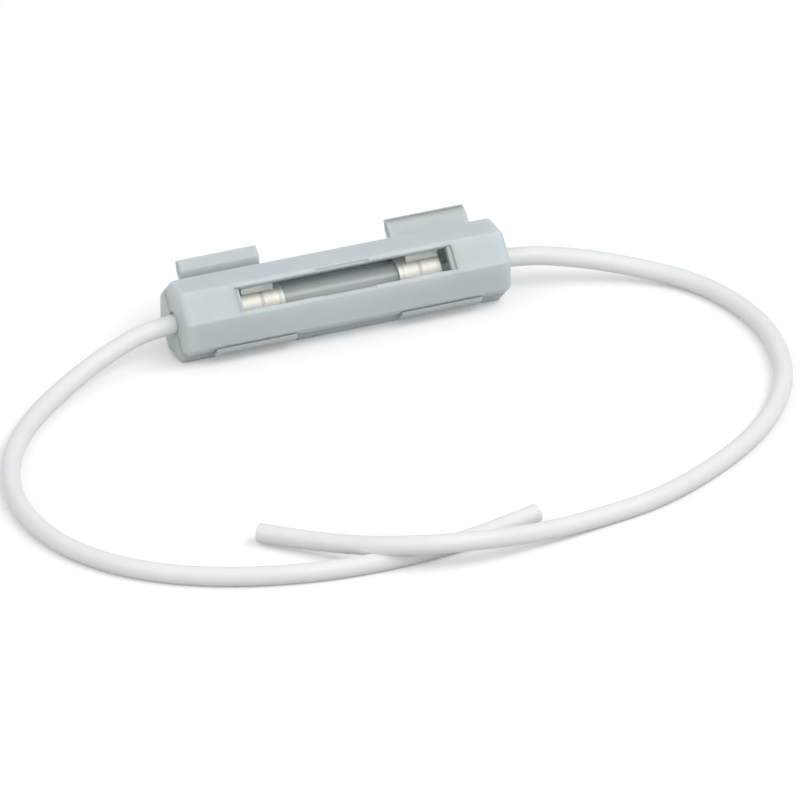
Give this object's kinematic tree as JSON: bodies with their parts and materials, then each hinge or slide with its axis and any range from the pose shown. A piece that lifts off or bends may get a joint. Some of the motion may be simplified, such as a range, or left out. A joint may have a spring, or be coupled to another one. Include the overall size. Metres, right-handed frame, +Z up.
{
  "type": "fuse holder",
  "caption": "In-line holder for a glass cartridge fuse, with a windowed cover that swings open on film hinges and an insulated lead at each end.",
  "frame": {"origin": "on the sloping side that the holder lies on, straight below the middle of the fuse's axis", "axes": "+X along the fuse and out of the right end, +Y away from the window towards the hinge side, +Z up"},
  "size_m": [0.1231, 0.0831, 0.0125],
  "materials": {
    "shell_plastic": "smooth moulded satin",
    "cap_metal": "nickel plated",
    "clip_metal": "tinned spring brass",
    "fuse_glass": "clear",
    "element_metal": "bright drawn wire",
    "strand_copper": "bare copper strands",
    "lead_plastic": "soft white insulation"
  },
  "bodies": {
    "base": {"base_shell": "shell_plastic", "contact_left": "clip_metal", "contact_right": "clip_metal", "fuse_cap_left": "cap_metal", "fuse_cap_right": "cap_metal", "fuse_glass": "fuse_glass", "fuse_element": "element_metal", "strands_left": "strand_copper", "strands_right": "strand_copper", "lead_left": "lead_plastic", "lead_right": "lead_plastic"},
    "cover": {"cover_shell": "shell_plastic"}
  },
  "joints": [
    {"name": "cover_hinge", "type": "hinge", "parent": "base", "child": "cover", "pos_m": [0, 0.00621, 0.0119], "axis": [-1, 0, 0], "range_deg": [0, 180]}
  ]
}
